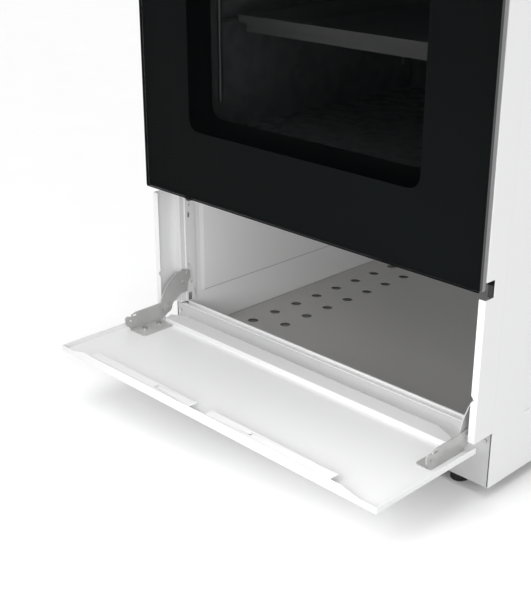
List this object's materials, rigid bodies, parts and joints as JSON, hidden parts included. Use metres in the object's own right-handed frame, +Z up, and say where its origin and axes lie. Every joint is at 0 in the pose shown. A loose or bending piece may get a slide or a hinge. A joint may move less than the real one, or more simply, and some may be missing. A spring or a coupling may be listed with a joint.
{
  "type": "freestanding gas range",
  "caption": "White freestanding gas range with a black glass oven door, gas hob and an open drop-down storage flap over a perforated storage floor.",
  "frame": {"origin": "on the ground, in the middle of the outline with the storage flap down", "axes": "+Z up, front faces -Y, +X to the right as seen from the front"},
  "size_m": [0.5, 0.7346, 0.884],
  "materials": {
    "white_enamel": "gloss white enamel",
    "grey_enamel": "satin grey enamel",
    "black_steel": "black phosphate",
    "galvanised_sheet": "galvanised",
    "zinc_screw": "zinc plated",
    "zinc_steel": "zinc plated",
    "door_glass": "polished",
    "grey_paint": "satin",
    "handle_metal": "satin",
    "dark_enamel": "gloss dark enamel",
    "gasket_rubber": "matt",
    "mineral_wool": "fibrous",
    "gas_pipe": "satin",
    "lamp_glass": "clear",
    "bright_wire": "bright",
    "valve_brass": "machined",
    "knob_plastic": "satin",
    "cap_enamel": "satin black enamel",
    "burner_aluminium": "cast",
    "igniter_ceramic": "glazed",
    "grate_iron": "matt black enamel",
    "foot_plastic": "matt"
  },
  "bodies": {
    "cabinet": {"side_panel_left": "white_enamel", "side_panel_right": "white_enamel", "front_post_left": "white_enamel", "front_post_right": "white_enamel", "base_frame": "white_enamel", "storage_floor": "grey_enamel", "storage_sill": "white_enamel", "storage_liners": "white_enamel", "storage_ceiling": "galvanised_sheet", "back_panel": "galvanised_sheet", "cabinet_screws": "zinc_screw", "flap_hinge_arms": "zinc_steel", "door_hinge_arms": "black_steel", "oven_front_frame": "dark_enamel", "door_gasket": "gasket_rubber", "oven_cavity": "dark_enamel", "oven_insulation": "mineral_wool", "oven_burner": "gas_pipe", "oven_floor_plate": "dark_enamel", "oven_lamp": "lamp_glass", "shelf_guides": "bright_wire", "control_panel": "white_enamel", "gas_manifold": "gas_pipe", "gas_valves": "valve_brass", "burner_pipes": "gas_pipe", "hob_top": "white_enamel", "burner_bases": "burner_aluminium", "burner_heads": "burner_aluminium", "burner_igniters": "igniter_ceramic"},
    "oven_door": {"door_outer_glass": "door_glass", "door_frame": "grey_paint", "door_inner_panel": "grey_paint", "door_inner_glass": "door_glass", "door_handle": "handle_metal", "door_hinge_channels": "zinc_steel"},
    "flap": {"storage_flap": "white_enamel", "flap_brackets": "zinc_steel", "flap_screws": "zinc_screw"},
    "stem_1": {"valve_stem_1": "valve_brass"},
    "knob_1_body": {"knob_1": "knob_plastic"},
    "stem_2": {"valve_stem_2": "valve_brass"},
    "knob_2_body": {"knob_2": "knob_plastic"},
    "stem_3": {"valve_stem_3": "valve_brass"},
    "knob_3_body": {"knob_3": "knob_plastic"},
    "stem_4": {"valve_stem_4": "valve_brass"},
    "knob_4_body": {"knob_4": "knob_plastic"},
    "stem_5": {"valve_stem_5": "valve_brass"},
    "knob_5_body": {"knob_5": "knob_plastic"},
    "cap_1": {"burner_cap_1": "cap_enamel"},
    "cap_2": {"burner_cap_2": "cap_enamel"},
    "cap_3": {"burner_cap_3": "cap_enamel"},
    "cap_4": {"burner_cap_4": "cap_enamel"},
    "grate_left": {"pan_support_left": "grate_iron"},
    "grate_right": {"pan_support_right": "grate_iron"},
    "shelf": {"wire_shelf": "bright_wire"},
    "tray": {"baking_tray": "dark_enamel"},
    "foot_front_left_body": {"foot_front_left": "foot_plastic"},
    "foot_front_right_body": {"foot_front_right": "foot_plastic"},
    "foot_rear_left_body": {"foot_rear_left": "foot_plastic"},
    "foot_rear_right_body": {"foot_rear_right": "foot_plastic"}
  },
  "joints": [
    {"name": "oven_door_hinge", "type": "hinge", "parent": "cabinet", "child": "oven_door", "pos_m": [0, -0.2147, 0.256], "axis": [1, 0, 0], "range_deg": [0, 90]},
    {"name": "storage_flap_hinge", "type": "hinge", "parent": "cabinet", "child": "flap", "pos_m": [0, -0.2117, 0.084], "axis": [-1, 0, 0], "range_deg": [0, 90]},
    {"name": "knob_1_push", "type": "slide", "parent": "cabinet", "child": "stem_1", "axis": [0, 1, 0], "range_m": [0, 0.003], "stiffness_N_per_m": 900, "springref_m": -0.002},
    {"name": "knob_1_turn", "type": "hinge", "parent": "stem_1", "child": "knob_1_body", "pos_m": [-0.168, -0.2367, 0.764], "axis": [0, -1, 0], "range_deg": [0, 220]},
    {"name": "knob_2_push", "type": "slide", "parent": "cabinet", "child": "stem_2", "axis": [0, 1, 0], "range_m": [0, 0.003], "stiffness_N_per_m": 900, "springref_m": -0.002},
    {"name": "knob_2_turn", "type": "hinge", "parent": "stem_2", "child": "knob_2_body", "pos_m": [-0.084, -0.2367, 0.764], "axis": [0, -1, 0], "range_deg": [0, 220]},
    {"name": "knob_3_push", "type": "slide", "parent": "cabinet", "child": "stem_3", "axis": [0, 1, 0], "range_m": [0, 0.003], "stiffness_N_per_m": 900, "springref_m": -0.002},
    {"name": "knob_3_turn", "type": "hinge", "parent": "stem_3", "child": "knob_3_body", "pos_m": [0, -0.2367, 0.764], "axis": [0, -1, 0], "range_deg": [0, 220]},
    {"name": "knob_4_push", "type": "slide", "parent": "cabinet", "child": "stem_4", "axis": [0, 1, 0], "range_m": [0, 0.003], "stiffness_N_per_m": 900, "springref_m": -0.002},
    {"name": "knob_4_turn", "type": "hinge", "parent": "stem_4", "child": "knob_4_body", "pos_m": [0.084, -0.2367, 0.764], "axis": [0, -1, 0], "range_deg": [0, 220]},
    {"name": "knob_5_push", "type": "slide", "parent": "cabinet", "child": "stem_5", "axis": [0, 1, 0], "range_m": [0, 0.003], "stiffness_N_per_m": 900, "springref_m": -0.002},
    {"name": "knob_5_turn", "type": "hinge", "parent": "stem_5", "child": "knob_5_body", "pos_m": [0.168, -0.2367, 0.764], "axis": [0, -1, 0], "range_deg": [0, 220]},
    {"name": "burner_cap_1_lift", "type": "slide", "parent": "cabinet", "child": "cap_1", "axis": [0, 0, 1], "range_m": [0, 0.008]},
    {"name": "burner_cap_2_lift", "type": "slide", "parent": "cabinet", "child": "cap_2", "axis": [0, 0, 1], "range_m": [0, 0.008]},
    {"name": "burner_cap_3_lift", "type": "slide", "parent": "cabinet", "child": "cap_3", "axis": [0, 0, 1], "range_m": [0, 0.008]},
    {"name": "burner_cap_4_lift", "type": "slide", "parent": "cabinet", "child": "cap_4", "axis": [0, 0, 1], "range_m": [0, 0.008]},
    {"name": "pan_support_left_lift", "type": "slide", "parent": "cabinet", "child": "grate_left", "axis": [0, 0, 1], "range_m": [0, 0.12]},
    {"name": "pan_support_right_lift", "type": "slide", "parent": "cabinet", "child": "grate_right", "axis": [0, 0, 1], "range_m": [0, 0.12]},
    {"name": "wire_shelf_slide", "type": "slide", "parent": "cabinet", "child": "shelf", "axis": [0, -1, 0], "range_m": [0, 0.05]},
    {"name": "baking_tray_slide", "type": "slide", "parent": "cabinet", "child": "tray", "axis": [0, -1, 0], "range_m": [0, 0.05]},
    {"name": "foot_front_left_height", "type": "slide", "parent": "cabinet", "child": "foot_front_left_body", "axis": [0, 0, -1], "range_m": [0, 0.012]},
    {"name": "foot_front_right_height", "type": "slide", "parent": "cabinet", "child": "foot_front_right_body", "axis": [0, 0, -1], "range_m": [0, 0.012]},
    {"name": "foot_rear_left_height", "type": "slide", "parent": "cabinet", "child": "foot_rear_left_body", "axis": [0, 0, -1], "range_m": [0, 0.012]},
    {"name": "foot_rear_right_height", "type": "slide", "parent": "cabinet", "child": "foot_rear_right_body", "axis": [0, 0, -1], "range_m": [0, 0.012]}
  ]
}
